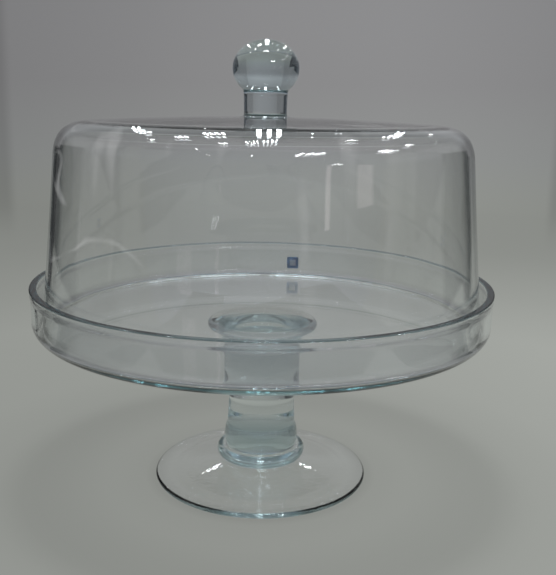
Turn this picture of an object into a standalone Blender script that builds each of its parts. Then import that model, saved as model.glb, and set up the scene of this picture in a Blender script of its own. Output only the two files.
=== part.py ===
"""Covered glass cake stand: a footed plate with an upright rim, under a lift-off dome with a ball knob.

Metres, +Z up. The origin is on the table, under the middle of the foot, and every turned piece is
centred on the Z axis. All of the glass pieces were gathered and shaped separately, then fused hot.
"""

import math

import bmesh
import bpy

SEGMENTS = 48  # faces round each turned piece
MERGE = 0.0001  # merge distance on the axis
GAP = 0.0003  # left between pieces that touch or are fused

# Foot: a shallow cone of glass, hollow underneath, that stands on a flat outer ring
FOOT_RADIUS = 0.070
FOOT_EDGE = 0.0032
FOOT_HEIGHT = 0.0110
FOOT_HUB_RADIUS = 0.0242
FOOT_HUB_THICKNESS = 0.0058
FOOT_VAULT_RISE = 0.0028
FOOT_RING_WIDTH = 0.006

# Collar: the bead between the foot and the stem, widest near its top
COLLAR_RADIUS = 0.0290
COLLAR_TOP_RADIUS = 0.0255
COLLAR_FOOT_RADIUS = 0.0236
COLLAR_HEIGHT = 0.0091
COLLAR_SHOULDER = 0.0035

# Stem: a short swelling, then a waisted column that widens towards the plate
KNOP_RADIUS = 0.0242
KNOP_HEIGHT = 0.015
WAIST_RADIUS = 0.0216
COLUMN_RADIUS = 0.0248
FLARE_RADIUS = 0.0330
FLARE_HEIGHT = 0.014

# Pad: the flat disc that spreads the load of the plate onto the column
PAD_RADIUS = 0.0355
PAD_HEIGHT = 0.0050

# Plate: a flat floor with an upright rim all round
PLATE_RADIUS = 0.145
PLATE_UNDERSIDE = 0.1025
PLATE_FLOOR = 0.0045
RIM_HEIGHT = 0.030
RIM_WALL = 0.0040
RIM_LIP = 0.0023
RIM_LIP_CORNER = 0.0009
PLATE_CORNER = 0.010
PLATE_INNER_CORNER = 0.0016
PLATE_SERVING_RADIUS = 0.120  # the part of the floor that a cake can stand on
PLATE_TRACK = 0.0001  # how far the track under the dome's edge stands above it

# Dome: a tapered wall, a rounded shoulder and a slightly raised roof with a button in its middle
DOME_FOOT_RADIUS = 0.1384
DOME_SHOULDER_RADIUS = 0.1277
DOME_SHOULDER_HEIGHT = 0.1057
DOME_SHOULDER_BEND = 0.018
DOME_WALL = 0.0036
ROOF_RISE = 0.0034
BUTTON_RADIUS = 0.0133
BUTTON_HEIGHT = 0.0030

# Knob: a slightly flattened solid ball on a short neck
KNOB_RADIUS = 0.0206
KNOB_HALF_HEIGHT = 0.0172
KNOB_CENTRE = 0.0257
NECK_RADIUS = 0.0133

# Label: a small square sticker low on the back of the dome
LABEL_SIZE = 0.0093
LABEL_THICKNESS = 0.0002
LABEL_HEIGHT = 0.0101
LABEL_BEARING = math.radians(79.9)

# Heights of the pieces above the table
COLLAR_Z = FOOT_HEIGHT + GAP
KNOP_Z = COLLAR_Z + COLLAR_HEIGHT + GAP
COLUMN_Z = KNOP_Z + KNOP_HEIGHT + GAP
PAD_Z = PLATE_UNDERSIDE - GAP - PAD_HEIGHT
COLUMN_HEIGHT = PAD_Z - GAP - COLUMN_Z
DOME_Z = PLATE_UNDERSIDE + PLATE_FLOOR + GAP
ROOF_EDGE = DOME_SHOULDER_HEIGHT + DOME_SHOULDER_BEND
BUTTON_TOP = ROOF_EDGE + ROOF_RISE + BUTTON_HEIGHT
KNOB_Z = DOME_Z + BUTTON_TOP + GAP


def clear_scene():
    for obj in list(bpy.data.objects):
        bpy.data.objects.remove(obj)


def new_collection(name):
    collection = bpy.data.collections.new(name)
    bpy.context.scene.collection.children.link(collection)
    return collection


def glass(name, colour, roughness):
    material = bpy.data.materials.new(name)
    material.use_nodes = True
    shader = material.node_tree.nodes["Principled BSDF"]
    shader.inputs["Base Color"].default_value = (*colour, 1.0)
    shader.inputs["Roughness"].default_value = roughness
    shader.inputs["Metallic"].default_value = 0.0
    shader.inputs["Transmission Weight"].default_value = 1.0
    shader.inputs["IOR"].default_value = 1.52
    material.diffuse_color = (*colour, 0.35)
    return material


def paper(name, colour):
    material = bpy.data.materials.new(name)
    material.use_nodes = True
    shader = material.node_tree.nodes["Principled BSDF"]
    shader.inputs["Base Color"].default_value = (*colour, 1.0)
    shader.inputs["Roughness"].default_value = 0.5
    shader.inputs["Metallic"].default_value = 0.0
    material.diffuse_color = (*colour, 1.0)
    return material


def anchor(collection, name, height):
    """An empty on the axis that holds one assembly's pieces."""
    empty = bpy.data.objects.new(name, None)
    empty.location = (0.0, 0.0, height)
    collection.objects.link(empty)
    return empty


def attach(obj, parent, collection, material):
    """Puts a piece that is already placed in the world under its assembly's empty."""
    obj.data.materials.append(material)
    obj.location.z -= parent.location.z
    obj.parent = parent
    collection.objects.link(obj)


def arc(centre_r, centre_z, radius, start, end, steps):
    """Outline points on an arc. Angles are in degrees: 0 points outwards and 90 points up."""
    points = []
    for step in range(steps + 1):
        angle = math.radians(start + (end - start) * step / steps)
        points.append((centre_r + radius * math.cos(angle), centre_z + radius * math.sin(angle)))
    return points


def ease(t):
    """A smooth rise from 0 to 1, level at both ends."""
    return t * t * (3.0 - 2.0 * t)


def turned(name, outline, height):
    """A solid of revolution. The outline runs down its outer side, and starts and ends on the axis."""
    mesh = bpy.data.meshes.new(name)
    edges = [(i, i + 1) for i in range(len(outline) - 1)]
    mesh.from_pydata([(r, 0.0, z) for r, z in outline], edges, [])
    obj = bpy.data.objects.new(name, mesh)
    obj.location = (0.0, 0.0, height)
    screw = obj.modifiers.new("Turn", "SCREW")
    screw.steps = SEGMENTS
    screw.render_steps = SEGMENTS
    screw.use_merge_vertices = True
    screw.merge_threshold = MERGE
    screw.use_smooth_shade = True
    return obj


def foot():
    edge = FOOT_EDGE / 2.0
    slope_end = FOOT_RADIUS - edge
    ring_inner = slope_end - FOOT_RING_WIDTH

    def top(r):
        share = (slope_end - r) / (slope_end - FOOT_HUB_RADIUS)
        return FOOT_EDGE + (FOOT_HEIGHT - FOOT_EDGE) * share**1.7

    outline = [(0.0, FOOT_HEIGHT), (FOOT_HUB_RADIUS, FOOT_HEIGHT)]
    steps = 7
    for step in range(1, steps):
        r = FOOT_HUB_RADIUS + (slope_end - FOOT_HUB_RADIUS) * step / steps
        outline.append((r, top(r)))
    outline += arc(slope_end, edge, edge, 90, -90, 4)
    outline.append((ring_inner, 0.0))
    for step in range(1, steps):
        share = step / steps
        r = ring_inner + (FOOT_HUB_RADIUS - ring_inner) * share
        thickness = FOOT_EDGE + (FOOT_HUB_THICKNESS - FOOT_EDGE) * ease(share)
        outline.append((r, top(r) - thickness))
    hollow = FOOT_HEIGHT - FOOT_HUB_THICKNESS
    for share in (1.0, 0.75, 0.5, 0.25, 0.0):
        outline.append((FOOT_HUB_RADIUS * share, hollow + FOOT_VAULT_RISE * (1.0 - share**2)))
    return turned("foot", outline, 0.0)


def foot_collar():
    widest = COLLAR_HEIGHT - COLLAR_SHOULDER
    outline = [(0.0, COLLAR_HEIGHT)]
    for angle in (90, 60, 30, 0, -18, -36, -54, -72, -90):
        out, up = math.cos(math.radians(angle)), math.sin(math.radians(angle))
        end = COLLAR_TOP_RADIUS if angle > 0 else COLLAR_FOOT_RADIUS
        height = COLLAR_SHOULDER if angle > 0 else widest
        outline.append((end + (COLLAR_RADIUS - end) * out, widest + height * up))
    outline.append((0.0, 0.0))
    return turned("foot_collar", outline, COLLAR_Z)


def stem_knop():
    waist = KNOP_RADIUS - 0.0018
    shoulder = KNOP_RADIUS - 0.0012
    outline = [
        (0.0, KNOP_HEIGHT),
        (waist, KNOP_HEIGHT),
        (shoulder + 0.0002, KNOP_HEIGHT * 0.88),
        (KNOP_RADIUS - 0.0003, KNOP_HEIGHT * 0.68),
        (KNOP_RADIUS, KNOP_HEIGHT * 0.42),
        (KNOP_RADIUS - 0.0004, KNOP_HEIGHT * 0.16),
        (shoulder, 0.0),
        (0.0, 0.0),
    ]
    return turned("stem_knop", outline, KNOP_Z)


def column_radius(height):
    """The column's radius at a height above its own base: a waist, a wider shaft, then a trumpet flare."""
    waist_top = 0.016
    shaft = 0.029
    flare = COLUMN_HEIGHT - FLARE_HEIGHT
    foot_radius = KNOP_RADIUS - 0.0020
    if height < waist_top:
        return foot_radius + (WAIST_RADIUS - foot_radius) * ease(height / waist_top)
    if height < shaft:
        return WAIST_RADIUS + (COLUMN_RADIUS - WAIST_RADIUS) * ease((height - waist_top) / (shaft - waist_top))
    if height < flare:
        return COLUMN_RADIUS
    share = min((height - flare) / FLARE_HEIGHT, 1.0)
    return COLUMN_RADIUS + (FLARE_RADIUS - COLUMN_RADIUS) * (1.0 - math.sqrt(1.0 - share**2))


def stem_column():
    heights = [0.0, 0.008, 0.016, 0.0195, 0.0225, 0.0255, 0.029]
    for step in range(7):
        heights.append(COLUMN_HEIGHT - FLARE_HEIGHT * (1.0 - math.sin(math.radians(15.0 * step))))
    side = [(column_radius(height), height) for height in reversed(heights)]
    outline = [(0.0, COLUMN_HEIGHT)] + side + [(0.0, 0.0)]
    return turned("stem_column", outline, COLUMN_Z)


def plate_pad():
    bead = PAD_HEIGHT / 2.0
    outline = [(0.0, PAD_HEIGHT)] + arc(PAD_RADIUS - bead, bead, bead, 90, -90, 6) + [(0.0, 0.0)]
    return turned("plate_pad", outline, PAD_Z)


def plate():
    wall_outer = PLATE_RADIUS - 0.0006
    wall_inner = wall_outer - RIM_WALL
    inner_bend = PLATE_INNER_CORNER
    lip_r = PLATE_RADIUS - RIM_LIP
    lip_z = RIM_HEIGHT - RIM_LIP
    corner = RIM_LIP_CORNER
    serving_z = PLATE_FLOOR - PLATE_TRACK
    outline = [(0.0, serving_z), (PLATE_SERVING_RADIUS, serving_z)]
    outline.append((PLATE_SERVING_RADIUS + 0.003, PLATE_FLOOR))
    outline += arc(wall_inner - inner_bend, PLATE_FLOOR + inner_bend, inner_bend, -90, 0, 4)
    outline.append((wall_inner, lip_z - 0.004))
    outline += arc(lip_r - RIM_LIP + corner, RIM_HEIGHT - corner, corner, 180, 90, 3)
    outline += arc(lip_r + RIM_LIP - corner, RIM_HEIGHT - corner, corner, 90, 0, 3)
    outline.append((wall_outer, lip_z - 0.004))
    outline += arc(wall_outer - PLATE_CORNER, PLATE_CORNER, PLATE_CORNER, 0, -90, 5)
    outline.append((0.0, 0.0))
    return turned("plate", outline, PLATE_UNDERSIDE)


def dome_wall_radius(height):
    """The outer radius of the dome's straight wall at a height above its foot."""
    return DOME_FOOT_RADIUS + (DOME_SHOULDER_RADIUS - DOME_FOOT_RADIUS) * height / DOME_SHOULDER_HEIGHT


def dome_skin(inset):
    """One skin of the dome from the roof's middle down to the foot, moved in by inset."""
    bend = DOME_SHOULDER_BEND - inset
    centre = DOME_SHOULDER_RADIUS - DOME_SHOULDER_BEND
    taper = math.degrees(math.atan2(DOME_FOOT_RADIUS - DOME_SHOULDER_RADIUS, DOME_SHOULDER_HEIGHT))
    skin = []
    for share in (0.3, 0.55, 0.8):
        rise = ROOF_RISE * (1.0 - share**2)
        skin.append((centre * share, ROOF_EDGE - inset + rise))
    skin += arc(centre, DOME_SHOULDER_HEIGHT, bend, 90, taper, 6)
    return skin


def dome_shell():
    edge = DOME_WALL / 2.0
    outer = dome_skin(0.0)
    inner = dome_skin(DOME_WALL)
    roof_top = ROOF_EDGE + ROOF_RISE
    outline = [(0.0, BUTTON_TOP), (BUTTON_RADIUS, BUTTON_TOP), (BUTTON_RADIUS, roof_top)] + outer
    outline += arc(dome_wall_radius(edge) - edge, edge, edge, 0, -180, 6)
    outline += list(reversed(inner)) + [(0.0, roof_top - DOME_WALL)]
    return turned("dome_shell", outline, DOME_Z)


def dome_knob():
    outline = []
    steps = 10
    lowest = -math.acos(0.0141 / KNOB_RADIUS)
    for step in range(steps + 1):
        angle = math.pi / 2.0 + (lowest - math.pi / 2.0) * step / steps
        r = KNOB_RADIUS * math.cos(angle) if step else 0.0
        outline.append((r, KNOB_CENTRE + KNOB_HALF_HEIGHT * math.sin(angle)))
    outline.append((NECK_RADIUS + 0.0002, 0.0070))
    outline.append((NECK_RADIUS, 0.0))
    outline.append((0.0, 0.0))
    return turned("dome_knob", outline, KNOB_Z)


def label():
    """A square sheet bent to the dome's tapered wall, thickened outwards."""
    mesh = bpy.data.meshes.new("label")
    sheet = bmesh.new()
    bmesh.ops.create_grid(sheet, x_segments=4, y_segments=1, size=LABEL_SIZE / 2.0)
    for vertex in sheet.verts:
        height = LABEL_HEIGHT + vertex.co.y
        radius = dome_wall_radius(height) + GAP
        bearing = LABEL_BEARING - vertex.co.x / radius
        vertex.co = (radius * math.cos(bearing), radius * math.sin(bearing), height)
    bmesh.ops.recalc_face_normals(sheet, faces=sheet.faces[:])
    sheet.to_mesh(mesh)
    sheet.free()
    obj = bpy.data.objects.new("label", mesh)
    obj.location = (0.0, 0.0, DOME_Z)
    skin = obj.modifiers.new("Thickness", "SOLIDIFY")
    skin.thickness = LABEL_THICKNESS
    skin.offset = 1.0
    return obj


def main():
    clear_scene()
    model = new_collection("cake_stand_dome")
    stand = anchor(model, "stand", 0.0)
    dome = anchor(model, "dome", DOME_Z)
    clear = (0.86, 0.90, 0.89)
    for obj in (foot(), foot_collar(), stem_knop(), stem_column(), plate_pad(), plate()):
        attach(obj, stand, model, glass(f"{obj.name}_glass", clear, 0.02))
    for obj in (dome_shell(), dome_knob()):
        attach(obj, dome, model, glass(f"{obj.name}_glass", clear, 0.02))
    attach(label(), dome, model, paper("label_print", (0.075, 0.12, 0.17)))


main()
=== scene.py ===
"""Looks of the covered glass cake stand: every piece of glass as a fine turned surface, a printed
sticker, and a plain pale stage with soft light.

Metres, +Z up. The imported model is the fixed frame: each piece takes its place and size from its node.
"""

import math

import bpy
from mathutils import Matrix, Vector, noise


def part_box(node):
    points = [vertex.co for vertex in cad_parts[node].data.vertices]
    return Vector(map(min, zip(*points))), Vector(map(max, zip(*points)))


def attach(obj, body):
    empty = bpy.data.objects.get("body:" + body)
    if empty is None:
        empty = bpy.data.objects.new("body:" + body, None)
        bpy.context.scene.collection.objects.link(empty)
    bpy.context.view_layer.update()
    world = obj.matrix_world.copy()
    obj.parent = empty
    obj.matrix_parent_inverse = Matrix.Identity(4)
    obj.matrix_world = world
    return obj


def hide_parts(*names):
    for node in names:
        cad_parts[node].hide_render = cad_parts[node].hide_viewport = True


SEGMENTS = 240  # faces round each turned piece
SEAM = 0.00003  # left between two pieces that are fused
SHARP_ANGLE = math.radians(40.0)  # edges sharper than this are not smoothed over

# Camera: a little above the dome's roof, looking down at the stand. Angles in degrees, lens in millimetres
CAMERA_PLACE = (0.0, -0.5203, 0.2434)
CAMERA_PITCH = 12.66
CAMERA_YAW = -1.07
CAMERA_ROLL = 1.05
LENS = 51.64


def srgb(*display):
    """Linear colour of a 0-255 display colour."""
    shares = [c / 255.0 for c in display]
    return tuple(c / 12.92 if c < 0.04045 else ((c + 0.055) / 1.055) ** 2.4 for c in shares)


def node_range(node):
    """The lowest and highest z of a node, and its radius."""
    low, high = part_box(node)
    return low.z, high.z, high.x


# ---------------------------------------------------------------- outlines


def arc(centre_r, centre_z, radius, start, end, steps):
    """Points on an arc. Angles are in degrees: 0 points outwards and 90 points up."""
    points = []
    for step in range(steps + 1):
        angle = math.radians(start + (end - start) * step / steps)
        points.append((centre_r + radius * math.cos(angle), centre_z + radius * math.sin(angle)))
    return points


def line(start, end, steps):
    """Points from start to end, without the first."""
    return [
        (start[0] + (end[0] - start[0]) * i / steps, start[1] + (end[1] - start[1]) * i / steps)
        for i in range(1, steps + 1)
    ]


def bezier(a, b, c, d, steps):
    """Points on a cubic curve, without the first."""
    points = []
    for i in range(1, steps + 1):
        t = i / steps
        s = 1.0 - t
        weights = (s * s * s, 3 * s * s * t, 3 * s * t * t, t * t * t)
        points.append(tuple(sum(w * p[k] for w, p in zip(weights, (a, b, c, d))) for k in (0, 1)))
    return points


def ease(t):
    """A smooth rise from 0 to 1, level at both ends."""
    t = min(max(t, 0.0), 1.0)
    return t * t * (3.0 - 2.0 * t)


def cap(radius, height, steps=6):
    """A flat fused face from the axis out to radius, at a height."""
    return [(radius * i / steps, height) for i in range(steps + 1)]


def cap_inwards(radius, height, steps=6):
    """The same face from its rim in to the axis, without the first point."""
    return list(reversed(cap(radius, height, steps)))[1:]


def soft_bend(start, end, turn, steps):
    """Points of a bend between two places, without the first. The curve sets out level, has turned down by
    turn degrees at its end, and is tightest half way."""
    heading = [math.radians(-turn) * ease((i + 0.5) / steps) for i in range(steps)]
    reach = (sum(math.cos(a) for a in heading), sum(math.sin(a) for a in heading))
    scale = math.dist(start, end) / math.hypot(*reach)
    points, r, z = [], *start
    for angle in heading:
        r, z = r + scale * math.cos(angle), z + scale * math.sin(angle)
        points.append((r, z))
    return points


# ---------------------------------------------------------------- meshes


def add_mesh(name, vertices, faces, smooth=False):
    """A new object from points and faces."""
    mesh = bpy.data.meshes.new(name)
    mesh.from_pydata(vertices, [], faces)
    if smooth:
        mesh.shade_smooth()
    obj = bpy.data.objects.new(name, mesh)
    bpy.context.scene.collection.objects.link(obj)
    return obj


def revolve(outline, count, closed=True, stray=None):
    """Points and faces of an outline turned round the z axis. It starts on the axis, and ends there if
    closed. stray(x, y, r, z) is how far out of its place a point lies, in the direction x, y."""
    rings = outline[1:-1] if closed else outline[1:]
    vertices, faces = [(0.0, 0.0, outline[0][1])], []
    for r, z in rings:
        for k in range(count):
            angle = 2.0 * math.pi * k / count
            x, y = math.cos(angle), math.sin(angle)
            reach = r + (stray(x, y, r, z) if stray else 0.0)
            vertices.append((reach * x, reach * y, z))

    def ring(i, k):
        return 1 + i * count + k % count

    for k in range(count):
        faces.append((0, ring(0, k), ring(0, k + 1)))
    for i in range(len(rings) - 1):
        for k in range(count):
            faces.append((ring(i, k), ring(i + 1, k), ring(i + 1, k + 1), ring(i, k + 1)))
    if closed:
        last, end = len(vertices), len(rings) - 1
        vertices.append((0.0, 0.0, outline[-1][1]))
        for k in range(count):
            faces.append((last, ring(end, k + 1), ring(end, k)))
    return vertices, faces


def turned(name, outline, fused=(), painted_shade_bands=(), outside=0, wave=0.0, seed=0.0):
    """A fine solid of revolution. The outline runs down its outer side, from the axis to the axis.

    fused lists (height, radius) of flat faces that meet another piece: they are marked, because no
    surface is left there once the glass has melted together. edges lists (lowest z, highest z, least
    radius, share) of bands painted with shade: a share of 1 is the full edge colour of painted shade, and
    less grows from nothing at the lowest z. outside is how many points of the outline lie on the skin that
    gets handled, or 0 for all. wave is how far the skin strays."""

    def level_with(z, height):
        return abs(z - height) < 1e-6

    def stray(x, y, r, z):
        if not wave or any(level_with(z, height) for height, _ in fused):
            return 0.0
        place = Vector((x * 2.2 + seed, y * 2.2 + seed * 0.7, z * 26.0))
        fine = Vector((x * 7.0 + seed, y * 7.0 + 3.1, z * 34.0 + seed))
        return wave * (noise.noise(place) + 0.3 * noise.noise(fine)) * ease(r / 0.02)

    vertices, faces = revolve(outline, SEGMENTS, stray=stray)
    obj = add_mesh(name, vertices, faces, smooth=True)
    marks, painted_shade, handled = [], [], []
    for face in faces:
        zs = [vertices[i][2] for i in face]
        r = max(math.hypot(vertices[i][0], vertices[i][1]) for i in face)
        flat = any(
            all(level_with(z, height) for z in zs) and r < radius + 1e-5 for height, radius in fused
        )
        marks.append(1.0 if flat else 0.0)
        middle = sum(zs) / len(zs)
        # Painted shade: the share of the edge colour that each face gets
        darker = 0.0
        for low, high, least, share in painted_shade_bands:
            if low < middle < high and r > least:
                grown = ease((middle - low) / (0.5 * (high - low)))
                darker = max(darker, share if share == 1.0 else share * grown)
        painted_shade.append(darker)
        row = (max(face) - 1) // SEGMENTS
        handled.append(1.0 if not outside or row < outside else 0.0)
    # The edge mark holds each face's share of painted shade
    for key, values in (("fused", marks), ("edge", painted_shade), ("handled", handled)):
        obj.data.attributes.new(key, "FLOAT", "FACE").data.foreach_set("value", values)
    obj.data.set_sharp_from_angle(angle=SHARP_ANGLE)
    return obj


# ---------------------------------------------------------------- materials


class NodeTree:
    """The nodes of a material or a world, and short ways to add more."""

    def __init__(self, owner):
        owner.use_nodes = True
        self.nodes, self.links = owner.node_tree.nodes, owner.node_tree.links

    def put(self, value, socket):
        """Links a node's output to a socket, or sets the socket to a number, a point or a colour."""
        if isinstance(value, bpy.types.NodeSocket):
            self.links.new(value, socket)
        elif socket.type == "RGBA":
            socket.default_value = (*value, 1.0)
        else:
            socket.default_value = value

    def add(self, kind, values=(), **settings):
        """A node with its settings, and values for its sockets as (key, value)."""
        node = self.nodes.new("ShaderNode" + kind)
        for key, value in settings.items():
            setattr(node, key, value)
        for key, value in values:
            self.put(value, node.inputs[key])
        return node

    def coordinates(self, kind="Object"):
        return self.add("TexCoord").outputs[kind]

    def mark(self, key):
        """One of the marks that turned() leaves on faces."""
        return self.add("Attribute", attribute_name=key).outputs["Fac"]

    def split(self, source):
        return self.add("SeparateXYZ", [(0, source)]).outputs

    def math(self, operation, *values):
        return self.add("Math", enumerate(values), operation=operation).outputs[0]

    def distance(self, source, centre):
        return self.add("VectorMath", [(0, source), (1, centre)], operation="DISTANCE").outputs["Value"]

    def ranged(self, source, low, high, to_low, to_high, smooth=False):
        """A value moved from one range to another, and held at its ends."""
        values = [("Value", source), ("From Min", low), ("From Max", high)]
        values += [("To Min", to_low), ("To Max", to_high)]
        kind = "SMOOTHSTEP" if smooth else "LINEAR"
        return self.add("MapRange", values, interpolation_type=kind).outputs["Result"]

    def noise(self, scale, detail, stretch=(1.0, 1.0, 1.0), distortion=0.0):
        mapping = self.add("Mapping", [("Vector", self.coordinates()), ("Scale", stretch)])
        values = [("Vector", mapping.outputs[0]), ("Scale", scale), ("Detail", detail)]
        return self.add("TexNoise", values + [("Distortion", distortion)]).outputs["Fac"]

    def mix(self, factor, first, second):
        """A colour between two colours."""
        node = self.add("Mix", data_type="RGBA")
        for index, value in ((0, factor), (6, first), (7, second)):
            self.put(value, node.inputs[index])
        return node.outputs[2]

    def ramp(self, source, stops):
        """A colour for each value. stops lists (value, colour) in rising order."""
        node = self.add("ValToRGB", [(0, source)])
        elements = node.color_ramp.elements
        for element, (value, colour) in zip(list(elements), (stops[0], stops[-1])):
            element.position = value
            element.color = (*colour, 1.0)
        for value, colour in stops[1:-1]:
            elements.new(value).color = (*colour, 1.0)
        return node.outputs["Color"]

    def bump(self, height, strength, distance, under=None):
        """A normal moved by a height, on top of the one under it."""
        values = [("Strength", strength), ("Distance", distance), ("Height", height)]
        if under:
            values.append(("Normal", under))
        return self.add("Bump", values).outputs["Normal"]


WHITE = (1.0, 1.0, 1.0)
GLASS_INDEX = 1.5
SKIN_DEPTH = 0.002  # how deep ripples and grain would be at full strength


def glass(name, tint, density, ripple=0.006, grain=0.0, wipes=0.0, edge=None, limb_shade=None):
    """Clear glass: soft ripples in the skin, handling marks, and a little colour in its depth.

    grain is how strong the fine unevenness is that pressing leaves, which breaks reflections into
    sparkles. wipes is how strong the cloudy streaks are that a cloth leaves. edge is the colour of the
    painted shade on the parts that turned() marks, and limb is the colour of painted shade on an upright
    wall seen nearly edge-on."""
    material = bpy.data.materials.new(name)
    tree = NodeTree(material)
    shader = tree.nodes["Principled BSDF"].inputs
    shader["Transmission Weight"].default_value = 1.0
    shader["IOR"].default_value = GLASS_INDEX
    # Where two pieces are fused the skin is gone, so light goes straight on
    tree.put(tree.ranged(tree.mark("fused"), 0.0, 1.0, GLASS_INDEX, 1.0), shader["IOR"])
    colour = WHITE
    # Painted shade in the glass's colour on the bands that turned() marks
    if edge:
        colour = tree.mix(tree.mark("edge"), colour, edge)
    # Painted shade where an upright wall is seen nearly edge-on, from the facing and the normal
    if limb_shade:
        facing = tree.ranged(tree.add("LayerWeight").outputs["Facing"], 0.76, 0.84, 0.0, 1.0)
        normal = tree.split(tree.add("NewGeometry").outputs["Normal"])
        upright = tree.ranged(tree.math("ABSOLUTE", normal["Z"]), 0.55, 0.9, 1.0, 0.0)
        colour = tree.mix(tree.math("MULTIPLY", facing, upright), colour, limb_shade)
    tree.put(colour, shader["Base Color"])
    # Long, soft ripples, and grain on top of them
    normal = tree.bump(tree.noise(38.0, 2.0), ripple, SKIN_DEPTH)
    if grain:
        normal = tree.bump(tree.noise(420.0, 1.0), grain, SKIN_DEPTH, normal)
    tree.put(normal, shader["Normal"])
    # Handling marks
    tree.put(tree.ranged(tree.noise(55.0, 6.0), 0.45, 0.75, 0.0, 0.02), shader["Roughness"])
    if wipes:
        # Thin curved lines where a noise crosses its middle value, in patches, and soft upright streaks
        off_middle = tree.math("SUBTRACT", tree.noise(9.0, 1.0, distortion=1.2), 0.5)
        lines = tree.ranged(tree.math("ABSOLUTE", off_middle), 0.0, 0.012, 1.0, 0.0)
        patches = tree.ranged(tree.noise(14.0, 2.0), 0.48, 0.66, 0.0, 1.0)
        upright_noise = tree.noise(1.0, 2.0, stretch=(60.0, 60.0, 5.0))
        streaks = tree.ranged(upright_noise, 0.56, 0.80, 0.0, 0.6)
        film = tree.math("ADD", tree.math("MULTIPLY", lines, patches), streaks)
        film = tree.math("MULTIPLY", film, tree.mark("handled"))
        tree.put(tree.ranged(film, 0.0, 1.0, 1.0, 1.0 - wipes), shader["Transmission Weight"])
    depth = tree.add("VolumeAbsorption", [("Color", tint), ("Density", density)])
    tree.put(depth.outputs[0], tree.nodes["Material Output"].inputs["Volume"])
    return material


def sticker_material(half):
    """A printed film: a slate-blue frame round a paler hatched middle. half is half its width."""
    material = bpy.data.materials.new("label_print")
    tree = NodeTree(material)
    shader = tree.nodes["Principled BSDF"].inputs
    middle_half, hatch_pitch = half * 0.52, half * 0.26
    x, _, z = tree.split(tree.coordinates())
    off_centre = tree.math("MAXIMUM", tree.math("ABSOLUTE", x), tree.math("ABSOLUTE", z))
    inside = tree.math("LESS_THAN", off_centre, middle_half)
    slant = tree.math("MULTIPLY", tree.math("ADD", x, z), 2.0 * math.pi / hatch_pitch)
    hatch = tree.math("GREATER_THAN", tree.math("SINE", slant), 0.1)
    mottle = tree.noise(900.0, 4.0)
    middle = tree.mix(hatch, srgb(250, 252, 255), srgb(176, 206, 234))
    frame_ink = tree.mix(mottle, srgb(98, 140, 192), srgb(114, 154, 204))
    tree.put(tree.mix(inside, frame_ink, middle), shader["Base Color"])
    tree.put(tree.ranged(mottle, 0.0, 1.0, 0.35, 0.6), shader["Roughness"])
    tree.put(tree.bump(mottle, 0.15, 0.00005), shader["Normal"])
    return material


# ---------------------------------------------------------------- pieces

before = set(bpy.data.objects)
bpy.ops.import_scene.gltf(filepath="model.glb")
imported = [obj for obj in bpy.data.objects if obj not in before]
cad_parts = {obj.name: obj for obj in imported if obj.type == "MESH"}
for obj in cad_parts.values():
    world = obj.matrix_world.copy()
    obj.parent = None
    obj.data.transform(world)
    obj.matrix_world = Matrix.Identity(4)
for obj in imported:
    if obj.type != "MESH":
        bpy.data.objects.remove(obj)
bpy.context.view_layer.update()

_, foot_high, foot_radius = node_range("foot")
collar_low, collar_high, collar_radius = node_range("foot_collar")
knop_low, knop_high, knop_radius = node_range("stem_knop")
column_low, column_high, _ = node_range("stem_column")
pad_low, pad_high, pad_radius = node_range("plate_pad")
plate_low, plate_high, plate_radius = node_range("plate")
shell_low, shell_high, shell_radius = node_range("dome_shell")
knob_low, knob_high, knob_radius = node_range("dome_knob")


def joint(lower_top, upper_bottom):
    """(top of the lower piece, bottom of the upper one) where the two are fused."""
    middle = (lower_top + upper_bottom) / 2.0
    return middle - SEAM / 2.0, middle + SEAM / 2.0


FOOT_TOP, COLLAR_BOTTOM = joint(foot_high, collar_low)
COLLAR_TOP, KNOP_BOTTOM = joint(collar_high, knop_low)
KNOP_TOP, COLUMN_BOTTOM = joint(knop_high, column_low)
COLUMN_TOP, PAD_BOTTOM = joint(column_high, pad_low)
PAD_TOP, PLATE_BOTTOM = joint(pad_high, plate_low)
SHELL_TOP, KNOB_BOTTOM = joint(shell_high, knob_low)

# Radii of the fused faces
FOOT_SEAM = 0.0236
COLLAR_SEAM = 0.0231
KNOP_SEAM = 0.0223
COLUMN_SEAM = 0.0330
PAD_SEAM = 0.0330
KNOB_SEAM = 0.0133

# The dome's outside: where its shoulder ends in the wall's line, how far that is above its edge, and how
# round the shoulder is. Then its thickness, and how far its button stands above the roof
SHOULDER_RADIUS = 0.1277
SHOULDER_HEIGHT = 0.1057
SHOULDER_BEND = 0.018
DOME_WALL = 0.0036
BUTTON_HEIGHT = 0.0030


def foot():
    edge_thickness = 0.0032
    edge = edge_thickness / 2.0
    slope_end = foot_radius - edge
    slope_start = FOOT_SEAM + 0.0004
    hub_thickness, vault, thinning = 0.0058, 0.0028, 0.038
    ring_inner = slope_end - 0.006

    def top(r):
        share = (r - slope_start) / (slope_end - slope_start)
        return edge_thickness + (FOOT_TOP - edge_thickness) * (1.0 - min(max(share, 0.0), 1.0)) ** 1.7

    outline = cap(FOOT_SEAM, FOOT_TOP)
    steps = 40
    for step in range(1, steps):
        r = slope_start + (slope_end - slope_start) * step / steps
        outline.append((r, top(r)))
    outline += arc(slope_end, edge, edge, 88, -90, 16)
    outline += line((slope_end, 0.0), (ring_inner, 0.0), 4)
    steps = 30
    for step in range(1, steps + 1):
        t = step / steps
        r = ring_inner * (1.0 - t)
        thickness = edge_thickness + (hub_thickness - edge_thickness) * ease((ring_inner - r) / thinning)
        rise = vault * (1.0 - (r / FOOT_SEAM) ** 2) if r < FOOT_SEAM else 0.0
        outline.append((r, (top(r) - thickness + rise) * ease(t * 6.0)))
    return turned("foot_glass", outline, fused=[(FOOT_TOP, FOOT_SEAM)], wave=0.00015, seed=1.0)


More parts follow.
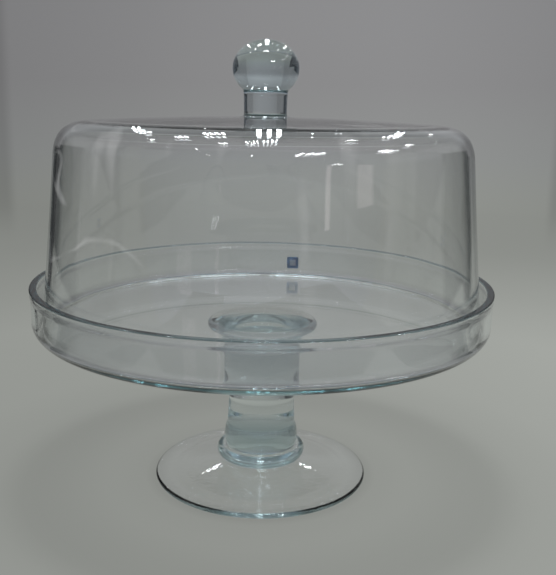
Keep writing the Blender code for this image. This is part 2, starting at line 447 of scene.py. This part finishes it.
def foot_collar():
    shoulder, shoulder_r = 0.0035, 0.0255
    widest = COLLAR_TOP - shoulder
    outline = cap(COLLAR_SEAM, COLLAR_TOP)
    steps = 28
    for step in range(steps + 1):
        angle = math.radians(88.0 - 178.0 * step / steps)
        if angle > 0.0:
            r = shoulder_r + (collar_radius - shoulder_r) * math.cos(angle)
            outline.append((r, widest + shoulder * math.sin(angle)))
        else:
            r = FOOT_SEAM + (collar_radius - FOOT_SEAM) * max(math.cos(angle), 0.0)
            outline.append((r, widest + (widest - COLLAR_BOTTOM) * math.sin(angle)))
    outline += cap_inwards(FOOT_SEAM, COLLAR_BOTTOM)
    return turned(
        "foot_collar_glass",
        outline,
        fused=[(COLLAR_TOP, COLLAR_SEAM), (COLLAR_BOTTOM, FOOT_SEAM)],
    )


def stem_knop():
    height = KNOP_TOP - KNOP_BOTTOM
    outline = cap(KNOP_SEAM, KNOP_TOP)
    outline += bezier(
        outline[-1],
        (KNOP_SEAM + 0.0006, KNOP_TOP - height * 0.12),
        (knop_radius, KNOP_TOP - height * 0.26),
        (knop_radius, KNOP_BOTTOM + height * 0.45),
        14,
    )
    outline += bezier(
        outline[-1],
        (knop_radius, KNOP_BOTTOM + height * 0.25),
        (COLLAR_SEAM + 0.0004, KNOP_BOTTOM + height * 0.12),
        (COLLAR_SEAM, KNOP_BOTTOM),
        12,
    )
    outline += cap_inwards(COLLAR_SEAM, KNOP_BOTTOM)
    return turned(
        "stem_knop_glass",
        outline,
        fused=[(KNOP_TOP, KNOP_SEAM), (KNOP_BOTTOM, COLLAR_SEAM)],
        wave=0.00012,
        seed=4.0,
    )


def column_radius(height):
    """The column's radius at a height above its base: a waist, a wider shaft, then a trumpet flare."""
    waist, waist_height = 0.0216, 0.016
    shaft, swell = 0.0248, 0.013
    full = COLUMN_TOP - COLUMN_BOTTOM
    flare = full - 0.014
    if height < waist_height:
        return KNOP_SEAM + (waist - KNOP_SEAM) * ease(height / waist_height)
    if height < flare:
        return waist + (shaft - waist) * ease((height - waist_height) / swell)
    share = min((height - flare) / (full - flare), 1.0)
    return shaft + (COLUMN_SEAM - shaft) * (1.0 - math.sqrt(1.0 - share**2))


def stem_column():
    full = COLUMN_TOP - COLUMN_BOTTOM
    steps = 56
    outline = cap(COLUMN_SEAM, COLUMN_TOP)[:-1]
    for step in range(steps, -1, -1):
        height = full * step / steps
        outline.append((column_radius(height), COLUMN_BOTTOM + height))
    outline += cap_inwards(outline[-1][0], COLUMN_BOTTOM)
    # The shaft behind the plate's wall gets painted shade, more so towards its top
    band_low, band_high = COLUMN_TOP - 0.034, COLUMN_TOP - 0.010
    return turned(
        "stem_column_glass",
        outline,
        fused=[(COLUMN_TOP, COLUMN_SEAM), (COLUMN_BOTTOM, KNOP_SEAM)],
        painted_shade_bands=[(band_low, band_high, 0.01, 0.55)],
        wave=0.00015,
        seed=7.0,
    )


def plate_pad():
    bead = (PAD_TOP - PAD_BOTTOM) / 2.0
    middle = (PAD_TOP + PAD_BOTTOM) / 2.0
    outline = cap(PAD_SEAM, PAD_TOP)[:-1]
    outline += arc(pad_radius - bead, middle, bead, 90, -90, 20)
    outline += line((pad_radius - bead, PAD_BOTTOM), (COLUMN_SEAM, PAD_BOTTOM), 2)
    outline += cap_inwards(COLUMN_SEAM, PAD_BOTTOM)
    return turned("plate_pad_glass", outline, fused=[(PAD_TOP, PAD_SEAM), (PAD_BOTTOM, COLUMN_SEAM)])


def plate():
    floor = plate_low + 0.0045
    wall_outer = plate_radius - 0.0006
    wall_inner = wall_outer - 0.0040
    bend, corner = 0.0016, 0.010
    # The lip is a little thicker than the wall, and its flat top has rounded edges
    lip, rounding = 0.0023, 0.0009
    lip_inner, lip_outer = plate_radius - 2.0 * lip, plate_radius
    lip_z, neck_z, wall_top = plate_high - lip, plate_high - lip - 0.002, plate_high - lip - 0.004
    top_z = plate_high - rounding
    outline = cap(wall_inner - bend, floor, 40)[:-1]
    outline += arc(wall_inner - bend, floor + bend, bend, -90, 0, 10)
    outline += line(outline[-1], (wall_inner, wall_top), 10)
    outline += bezier(outline[-1], (wall_inner, neck_z), (lip_inner, neck_z), (lip_inner, lip_z), 5)
    outline += arc(lip_inner + rounding, top_z, rounding, 180, 90, 8)
    outline += line(outline[-1], (lip_outer - rounding, plate_high), 4)
    outline += arc(lip_outer - rounding, top_z, rounding, 90, 0, 8)[1:]
    outline.append((lip_outer, lip_z))
    outline += bezier(outline[-1], (lip_outer, neck_z), (wall_outer, neck_z), (wall_outer, wall_top), 5)
    outline += line(outline[-1], (wall_outer, PLATE_BOTTOM + corner), 8)
    outline += arc(wall_outer - corner, PLATE_BOTTOM + corner, corner, 0, -90, 20)[1:]
    outline += line(outline[-1], (PAD_SEAM, PLATE_BOTTOM), 30)
    outline += cap_inwards(PAD_SEAM, PLATE_BOTTOM, 8)
    return turned(
        "plate_glass",
        outline,
        fused=[(PLATE_BOTTOM, PAD_SEAM)],
        # Painted shade on the lip's rounded top, and a faint painted shade on the wall, growing from its
        # bottom
        painted_shade_bands=[
            (top_z + rounding * 0.35, plate_high + 0.001, lip_inner, 1.0),
            (PLATE_BOTTOM + 0.004, wall_top, wall_inner - 0.0005, 0.06),
        ],
        wave=0.00022,
        seed=11.0,
    )


def wall_radius(height):
    """The dome's outer radius at a height above its edge."""
    return shell_radius + (SHOULDER_RADIUS - shell_radius) * height / SHOULDER_HEIGHT


def dome_skin(inset):
    """One skin of the dome from its roof down to its shoulder, moved in by inset."""
    rise = 0.0034
    bend = SHOULDER_BEND - inset
    taper = math.atan2(shell_radius - SHOULDER_RADIUS, SHOULDER_HEIGHT)
    # The roof's level and the wall's line meet at a corner. The bend sets out and ends a little further
    # from it than a plain arc would, so that it rounds the corner off by as much as the arc does
    level = shell_low + SHOULDER_HEIGHT + bend
    reach = bend * math.tan((math.pi / 2.0 - taper) / 2.0)
    corner = SHOULDER_RADIUS - SHOULDER_BEND + reach
    reach *= 1.27
    start = (corner - reach, level)
    end = (corner + reach * math.sin(taper), level - reach * math.cos(taper))
    steps = 30
    skin = []
    for step in range(1, steps):
        share = step / steps
        skin.append((start[0] * share, level + rise * (1.0 - share**2)))
    skin.append(start)
    skin += soft_bend(start, end, 90.0 - math.degrees(taper), 28)
    return skin


def dome_shell():
    edge = DOME_WALL / 2.0
    edge_middle = wall_radius(edge) - edge
    fillet = 0.0016
    roof = SHELL_TOP - BUTTON_HEIGHT
    outer, inner = dome_skin(0.0), dome_skin(DOME_WALL)
    outline = cap(KNOB_SEAM, SHELL_TOP)
    outline += line(outline[-1], (KNOB_SEAM, roof + fillet), 3)
    outline += arc(KNOB_SEAM + fillet, roof + fillet, fillet, 180, 265, 8)[1:]
    outline += [p for p in outer if p[0] > KNOB_SEAM + fillet + 0.001]
    outline += line(outer[-1], (wall_radius(edge), shell_low + edge), 30)
    # The lowest rows of the wall, up to a little above the plate's rim, carry no wiping marks
    clean_rows = 9
    outside = len(outline) - clean_rows
    outline += arc(edge_middle, shell_low + edge, edge, 0, -180, 18)[1:]
    outline += line(outline[-1], inner[-1], 30)
    outline += list(reversed(inner))[1:] + [(0.0, roof - DOME_WALL)]
    return turned(
        "dome_shell_glass",
        outline,
        fused=[(SHELL_TOP, KNOB_SEAM)],
        # Painted shade along the dome's bottom edge, where it stands on the plate
        painted_shade_bands=[(shell_low - edge, shell_low + edge * 0.7, edge_middle - DOME_WALL, 1.0)],
        outside=outside,
        wave=0.00022,
        seed=17.0,
    )


def dome_knob():
    centre = KNOB_BOTTOM + 0.0257
    half_height = knob_high - centre
    neck_start, neck_end = 0.0141, KNOB_SEAM + 0.0001
    lowest = -math.degrees(math.acos(neck_start / knob_radius))
    outline = []
    steps = 56
    for step in range(steps + 1):
        angle = math.radians(90.0 + (lowest - 90.0) * step / steps)
        r = knob_radius * math.cos(angle) if step else 0.0
        outline.append((r, centre + half_height * math.sin(angle)))
    neck_r, neck_z = outline[-1]
    outline += bezier(
        outline[-1],
        (neck_r - 0.0007, neck_z - 0.0012),
        (neck_end + 0.0001, neck_z - 0.003),
        (neck_end, KNOB_BOTTOM + 0.004),
        10,
    )
    outline += line(outline[-1], (KNOB_SEAM, KNOB_BOTTOM), 4)
    outline += cap_inwards(KNOB_SEAM, KNOB_BOTTOM)
    return turned("dome_knob_glass", outline, fused=[(KNOB_BOTTOM, KNOB_SEAM)])


def label():
    """A rounded square of film on the outside of the dome's wall, low on its back, and half its width."""
    low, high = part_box("label")
    middle = (low + high) / 2.0
    bearing = math.atan2(middle.y, middle.x)
    half = (high.z - low.z) / 2.0
    height = middle.z - shell_low
    corner, thickness, off = half * 0.22, 0.0002, 0.0003
    turn = Matrix.Rotation(bearing - math.pi / 2.0, 4, "Z")
    centre = Vector((math.cos(bearing), math.sin(bearing), 0.0)) * wall_radius(height)
    centre.z = middle.z
    place = Matrix.Translation(centre) @ turn
    back = place.inverted()

    def on_wall(x, z, lift):
        r = wall_radius(height + z) + off + lift
        angle = bearing - x / r
        return back @ Vector((r * math.cos(angle), r * math.sin(angle), middle.z + z))

    def reach(z):
        """Half the label's width at a height above its middle."""
        inset = abs(z) - (half - corner)
        return half if inset <= 0.0 else half - corner + math.sqrt(max(corner**2 - inset**2, 0.0))

    rows, columns = 24, 16
    heights = [half * math.sin(math.pi * (row / rows - 0.5)) for row in range(rows + 1)]
    vertices, faces = [], []
    for lift in (0.0, thickness):
        for z in heights:
            for column in range(columns + 1):
                vertices.append(on_wall(reach(z) * (2.0 * column / columns - 1.0), z, lift))
    width = columns + 1
    sheet = width * (rows + 1)
    for row in range(rows):
        for column in range(columns):
            a = row * width + column
            faces.append((a, a + 1, a + width + 1, a + width))
            faces.append((sheet + a, sheet + a + width, sheet + a + width + 1, sheet + a + 1))
    border = list(range(width))
    border += [width * row + columns for row in range(1, rows + 1)]
    border += [width * rows + column for column in range(columns - 1, -1, -1)]
    border += [width * row for row in range(rows - 1, 0, -1)]
    for a, b in zip(border, border[1:] + border[:1]):
        faces.append((b, a, a + sheet, b + sheet))
    obj = add_mesh("label_film", vertices, faces, smooth=True)
    obj.matrix_world = place
    obj.data.set_sharp_from_angle(angle=SHARP_ANGLE)
    return obj, half


def dress(obj, body, node, material):
    obj.data.materials.append(material)
    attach(obj, body)
    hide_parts(node)


TINT = (0.45, 0.80, 0.82)
GREY = (0.54, 0.69, 0.73)
# Colours of painted shade: bands on the column and the plate, the dome's bottom edge, and the dome's walls
# seen edge-on
PAINTED_SHADE_SLATE = (0.13, 0.20, 0.24)
DOME_EDGE_SHADE = (0.34, 0.42, 0.45)
DOME_LIMB_SHADE = (0.34, 0.35, 0.36)
dress(foot(), "stand", "foot", glass("foot_clear", TINT, 5.0, grain=0.03, wipes=0.04))
dress(foot_collar(), "stand", "foot_collar", glass("collar_clear", TINT, 8.0, grain=0.03))
dress(stem_knop(), "stand", "stem_knop", glass("knop_clear", GREY, 27.0))
column_look = glass("column_clear", TINT, 3.5, edge=PAINTED_SHADE_SLATE)
dress(stem_column(), "stand", "stem_column", column_look)
dress(plate_pad(), "stand", "plate_pad", glass("pad_clear", TINT, 3.0))
plate_look = glass("plate_clear", TINT, 6.0, ripple=0.004, edge=PAINTED_SHADE_SLATE)
dress(plate(), "stand", "plate", plate_look)
shell_look = glass("shell_clear", TINT, 5.0, wipes=0.19, edge=DOME_EDGE_SHADE, limb_shade=DOME_LIMB_SHADE)
dress(dome_shell(), "dome", "dome_shell", shell_look)
dress(dome_knob(), "dome", "dome_knob", glass("knob_clear", GREY, 18.0))
film, film_half = label()
dress(film, "dome", "label", sticker_material(film_half))

# ---------------------------------------------------------------- stage


def stage_camera():
    camera = bpy.data.cameras.new("camera")
    camera.lens = LENS
    camera.clip_start, camera.clip_end = 0.02, 20.0
    obj = bpy.data.objects.new("camera", camera)
    pitch, yaw, roll = (math.radians(a) for a in (CAMERA_PITCH, CAMERA_YAW, CAMERA_ROLL))
    forward = Vector(
        (-math.sin(yaw) * math.cos(pitch), math.cos(yaw) * math.cos(pitch), -math.sin(pitch))
    )
    level_right = Vector((math.cos(yaw), math.sin(yaw), 0.0))
    level_up = level_right.cross(forward)
    right = level_right * math.cos(roll) + level_up * math.sin(roll)
    up = level_up * math.cos(roll) - level_right * math.sin(roll)
    basis = Matrix((right, up, -forward)).transposed()
    obj.matrix_world = Matrix.Translation(CAMERA_PLACE) @ basis.to_4x4()
    bpy.context.scene.collection.objects.link(obj)
    bpy.context.scene.camera = obj
    return obj


def glow(name):
    """A surface that only gives light: its material, its nodes, and the sockets of its light."""
    material = bpy.data.materials.new(name)
    tree = NodeTree(material)
    tree.nodes.remove(tree.nodes["Principled BSDF"])
    emission = tree.add("Emission")
    tree.put(emission.outputs[0], tree.nodes["Material Output"].inputs["Surface"])
    return material, tree, emission.inputs


def plain_glow(name, colour, strength):
    """A glow of one colour and strength."""
    material, tree, light = glow(name)
    tree.put(colour, light["Color"])
    tree.put(strength, light["Strength"])
    return material


def faded_glow(name, colour, centre, near, far, strength, far_strength):
    """A glow that falls off smoothly between two distances from a centre, so that its edge never shows."""
    material, tree, light = glow(name)
    away = tree.distance(tree.coordinates(), centre)
    tree.put(colour, light["Color"])
    tree.put(tree.ranged(away, near, far, strength, far_strength, smooth=True), light["Strength"])
    return material


# Colour of the backdrop by height in metres: warm grey floor, cooler wall, and a brighter band above
# the picture
SWEEP_HEIGHT = 1.35
SWEEP_COLOURS = {
    0.0: (147, 149.5, 145), 0.10: (144, 146, 145), 0.30: (140, 140, 141),
    0.55: (142, 142, 143.5), 0.80: (174, 176, 178), SWEEP_HEIGHT: (160, 162, 164),
}
# Soft shade where the foot stands and under the plate's rim: distance from the stem in metres, and what
# share of the light is left
SHADE_REACH = 2.2
SHADE = [
    (0.0, 0.935), (0.060, 0.955), (0.067, 0.86), (0.0705, 0.80), (0.076, 0.93), (0.100, 0.955),
    (0.130, 0.90), (0.152, 0.88), (0.175, 1.01), (0.23, 1.08), (0.42, 1.14), (0.62, 1.04),
    (0.92, 0.94), (1.45, 0.86), (SHADE_REACH, 0.86),
]


def sweep_material():
    """The backdrop gives its own even light, with the shades that the photo's backdrop has."""
    material, tree, light = glow("sweep")
    place = tree.coordinates()
    x, y, z = tree.split(place)
    stops = [(height / SWEEP_HEIGHT, srgb(*colour)) for height, colour in SWEEP_COLOURS.items()]
    tree.put(tree.ramp(tree.math("DIVIDE", z, SWEEP_HEIGHT), stops), light["Color"])
    # Light falls off away from a pool on the wall behind the stand, and grows a little to the right
    away = tree.distance(place, (0.12, 1.9, 0.3))
    pool = tree.ranged(away, 0.25, 1.1, 1.035, 0.86, smooth=True)
    rightwards = tree.ranged(x, -0.4, 0.4, 0.0, 1.0)
    gain = tree.ranged(y, 0.1, 0.9, 0.34, 0.10, smooth=True)
    strength = tree.math("MULTIPLY", pool, tree.math("MULTIPLY_ADD", rightwards, gain, 1.022))
    on_floor = tree.add("CombineXYZ", [("X", x), ("Y", y)]).outputs[0]
    from_stem = tree.distance(on_floor, (0.0, 0.0, 0.0))
    stops = [(r / SHADE_REACH, (level, level, level)) for r, level in SHADE]
    shade = tree.ramp(tree.math("DIVIDE", from_stem, SHADE_REACH), stops)
    strength = tree.math("MULTIPLY", strength, shade)
    # The backdrop's two ends, far behind the stand, are a shade darker. They start at fixed slopes of x
    # over y from a point in front of the stand
    slope = tree.math("DIVIDE", x, tree.math("ADD", y, 0.52))
    loss = tree.ranged(y, 0.8, 1.6, 0.0, -0.19, smooth=True)
    for start, end in ((-0.296, -0.312), (0.342, 0.356)):
        past = tree.ranged(slope, start, end, 0.0, 1.0, smooth=True)
        strength = tree.math("MULTIPLY", strength, tree.math("MULTIPLY_ADD", past, loss, 1.0))
    tree.put(strength, light["Strength"])
    return material


def stage_sweep():
    """A round floor that curves up into a wall on every side."""
    radius, bend, drop = 1.5, 0.7, 0.0003
    outline = [(0.0, 0.0)] + line((0.0, -drop), (radius, -drop), 12)
    outline += arc(radius, bend - drop, bend, -90, 0, 24)[1:]
    outline.append((radius + bend, SWEEP_HEIGHT))
    obj = add_mesh("stage_sweep", *revolve(outline, 96, closed=False), smooth=True)
    obj.data.materials.append(sweep_material())


def only_in_glass(obj):
    """Hides a part of the stage from everything but reflection and refraction."""
    obj.visible_camera = False
    obj.visible_diffuse = False
    obj.visible_shadow = False


# Ceiling lamps: place in metres from the stand, how many tubes, their size, and their length in metres
LAMPS = [
    (-1.65, 0.05, 2, 0.9, 0.25), (-0.93, 0.25, 3, 0.9, 0.30), (-0.44, 0.85, 4, 0.7, 0.45),
    (-0.61, -0.9, 3, 0.6, 0.35), (-0.16, -0.7, 4, 0.55, 0.50), (0.06, -0.5, 4, 0.6, 0.45),
    (1.15, -2.9, 3, 3.0, 0.80), (1.0, 0.2, 2, 0.9, 0.30), (2.9, -1.0, 3, 2.4, 0.70),
    (2.5, 0.45, 2, 1.4, 0.35), (0.38, 1.3, 1, 0.6, 0.15), (-0.42, 4.2, 3, 0.8, 0.20),
    (0.6, 3.6, 2, 0.5, 0.12), (1.9, 3.3, 2, 0.6, 0.15), (2.9, 2.0, 2, 0.5, 0.12),
    (-1.54, -1.82, 1, 0.8, 0.20), (-1.72, -3.2, 1, 0.8, 0.20), (-0.37, -3.6, 1, 0.8, 0.20),
    (2.3, -4.4, 2, 1.0, 0.24), (4.15, -8.2, 3, 3.5, 1.2),
]
# Three long rows of them: x, first y, step, how many, then each one's tubes, size and length
LAMP_ROWS = [
    (0.03, 0.9, 0.6, 6, 3, 0.9, 0.26),
    (-1.15, 1.3, 0.5, 6, 2, 0.8, 0.19),
    (1.25, 1.2, 0.46, 7, 2, 0.8, 0.19),
]


def stage_lamps():
    """Small ceiling lamps, which only show as glints in the glass."""
    material = plain_glow("lamp", (0.93, 0.97, 1.0), 60.0)
    ceiling = 2.3
    # Lamps far in front of the stand would hang behind the soft panel. They are pulled to within a reach of
    # the dome's front shoulder, in the same direction from there, and are that much smaller
    shoulder_x_share, shoulder_y, shoulder_z = 0.04, -0.12, 0.23
    front_reach = 0.58
    lamps = list(LAMPS)
    for x, y, step, count, *lamp in LAMP_ROWS:
        lamps += [(x, y + step * i, *lamp) for i in range(count)]
    corners, faces = [], []
    for x, y, tubes, size, length in lamps:
        pull = front_reach / max(shoulder_y - y, front_reach)
        shoulder_x = shoulder_x_share * x
        x = shoulder_x + (x - shoulder_x) * pull
        y = shoulder_y + (y - shoulder_y) * pull
        height = shoulder_z + (ceiling - shoulder_z) * pull
        size, length = size * pull, length * pull
        width, spacing, stagger = 0.035 * size, 0.085 * size, 0.05 * size
        for tube in range(tubes):
            middle = x + (tube - (tubes - 1) / 2.0) * spacing
            base = len(corners)
            for dx, dy in ((-width, -length), (width, -length), (width, length), (-width, length)):
                corners.append((middle + dx / 2.0, y + dy / 2.0 + stagger * tube, height))
            faces.append((base + 3, base + 2, base + 1, base))
    obj = add_mesh("stage_lamps", corners, faces)
    obj.data.materials.append(material)
    only_in_glass(obj)


def stage_light():
    """A broad soft light from the upper left. The backdrop gives most of the light, and this adds a little
    to what isn't clear: the wiping marks and the label."""
    light = bpy.data.lights.new("soft_light", "AREA")
    light.size = 1.0
    light.energy = 36.0
    obj = bpy.data.objects.new("soft_light", light)
    facing = Vector((-0.7, -0.9, 1.15)).to_track_quat("Z", "Y").to_matrix().to_4x4()
    obj.matrix_world = Matrix.Translation((-0.7, -0.9, 1.3)) @ facing
    obj.visible_glossy = False
    obj.visible_transmission = False
    obj.visible_camera = False
    bpy.context.scene.collection.objects.link(obj)


def card(name, corners, material, camera):
    """A card held by the camera. Its corners are in the camera's axes: x right, y up and z backwards."""
    obj = add_mesh(name, corners, [(0, 1, 2, 3)])
    obj.data.materials.append(material)
    obj.parent = camera
    only_in_glass(obj)


def stage_cards(camera):
    dark = plain_glow("card_dark", (0.9, 0.95, 1.0), 0.03)
    soft = faded_glow("card_soft", (0.94, 1.0, 1.16), (0.0, 0.2, 0.5), 0.2, 2.0, 0.42, 0.20)
    streak = plain_glow("card_streak", (1.0, 0.93, 0.97), 1.6)
    haze = plain_glow("card_haze", (1.0, 0.93, 0.97), 1.1)
    # Dark cards on both sides of the view, and upright wings further out
    near, far, low = 0.75, 2.2, -1.2
    wing, wing_near, wing_far, wing_low = 1.0, 0.7, 1.5, -1.0
    for side, sign, turn in (("left", -1.0, 26.0), ("right", 1.0, 33.0)):
        slope = sign * math.tan(math.radians(turn))
        corners = [(slope * near, low, -near), (slope * far, low, -far)]
        corners += [(slope * far, 0.50, -far), (slope * near, 0.16, -near)]
        card(f"stage_card_{side}", corners, dark, camera)
        corners = [(sign * wing, wing_low, -wing_near), (sign * wing, wing_low, -wing_far)]
        corners += [(sign * wing, 0.45, -wing_far), (sign * wing, 0.40, -wing_near)]
        card(f"stage_wing_{side}", corners, dark, camera)
    # Dark cards below the camera, on both sides and in the middle, which the plate's wall reflects
    for side, sign in (("left", -1.0), ("right", 1.0)):
        inner, outer = sign * 0.25, sign * 0.52
        corners = [(inner, -0.19, 0.3), (outer, -0.19, 0.3), (outer, -0.09, -0.6), (inner, -0.09, -0.6)]
        card(f"stage_low_{side}", corners, dark, camera)
    corners = [(-0.5, -0.2, 0.3), (0.5, -0.2, 0.3), (0.5, -0.2, -0.22), (-0.5, -0.2, -0.22)]
    card("stage_card_low", corners, dark, camera)
    # A broad soft panel behind the camera, and two bright strips just before it
    for name, left, right, low, high, back, look in (
        ("stage_panel", -2.2, 2.2, -0.5, 1.4, 0.5, soft),
        ("stage_strip_a", 0.54, 0.59, -0.12, 0.06, 0.45, streak),
        ("stage_strip_b", 1.0, 1.35, -0.1, 0.12, 0.45, haze),
    ):
        corners = [(left, low, back), (right, low, back), (right, high, back), (left, high, back)]
        card(name, corners, look, camera)


def stage_world():
    world = bpy.data.worlds.new("world")
    bpy.context.scene.world = world
    tree = NodeTree(world)
    up = tree.split(tree.coordinates("Generated"))["Z"]
    colours = tree.ramp(up, [(0.0, (0.24, 0.25, 0.25)), (1.0, (0.15, 0.155, 0.16))])
    tree.put(colours, tree.nodes["Background"].inputs["Color"])


camera = stage_camera()
stage_sweep()
stage_lamps()
stage_light()
stage_cards(camera)
stage_world()

scene = bpy.context.scene
scene.view_settings.view_transform = "Standard"
scene.cycles.max_bounces = 24
scene.cycles.transmission_bounces = 24
scene.cycles.glossy_bounces = 12
scene.cycles.transparent_max_bounces = 24
scene.cycles.use_denoising = True
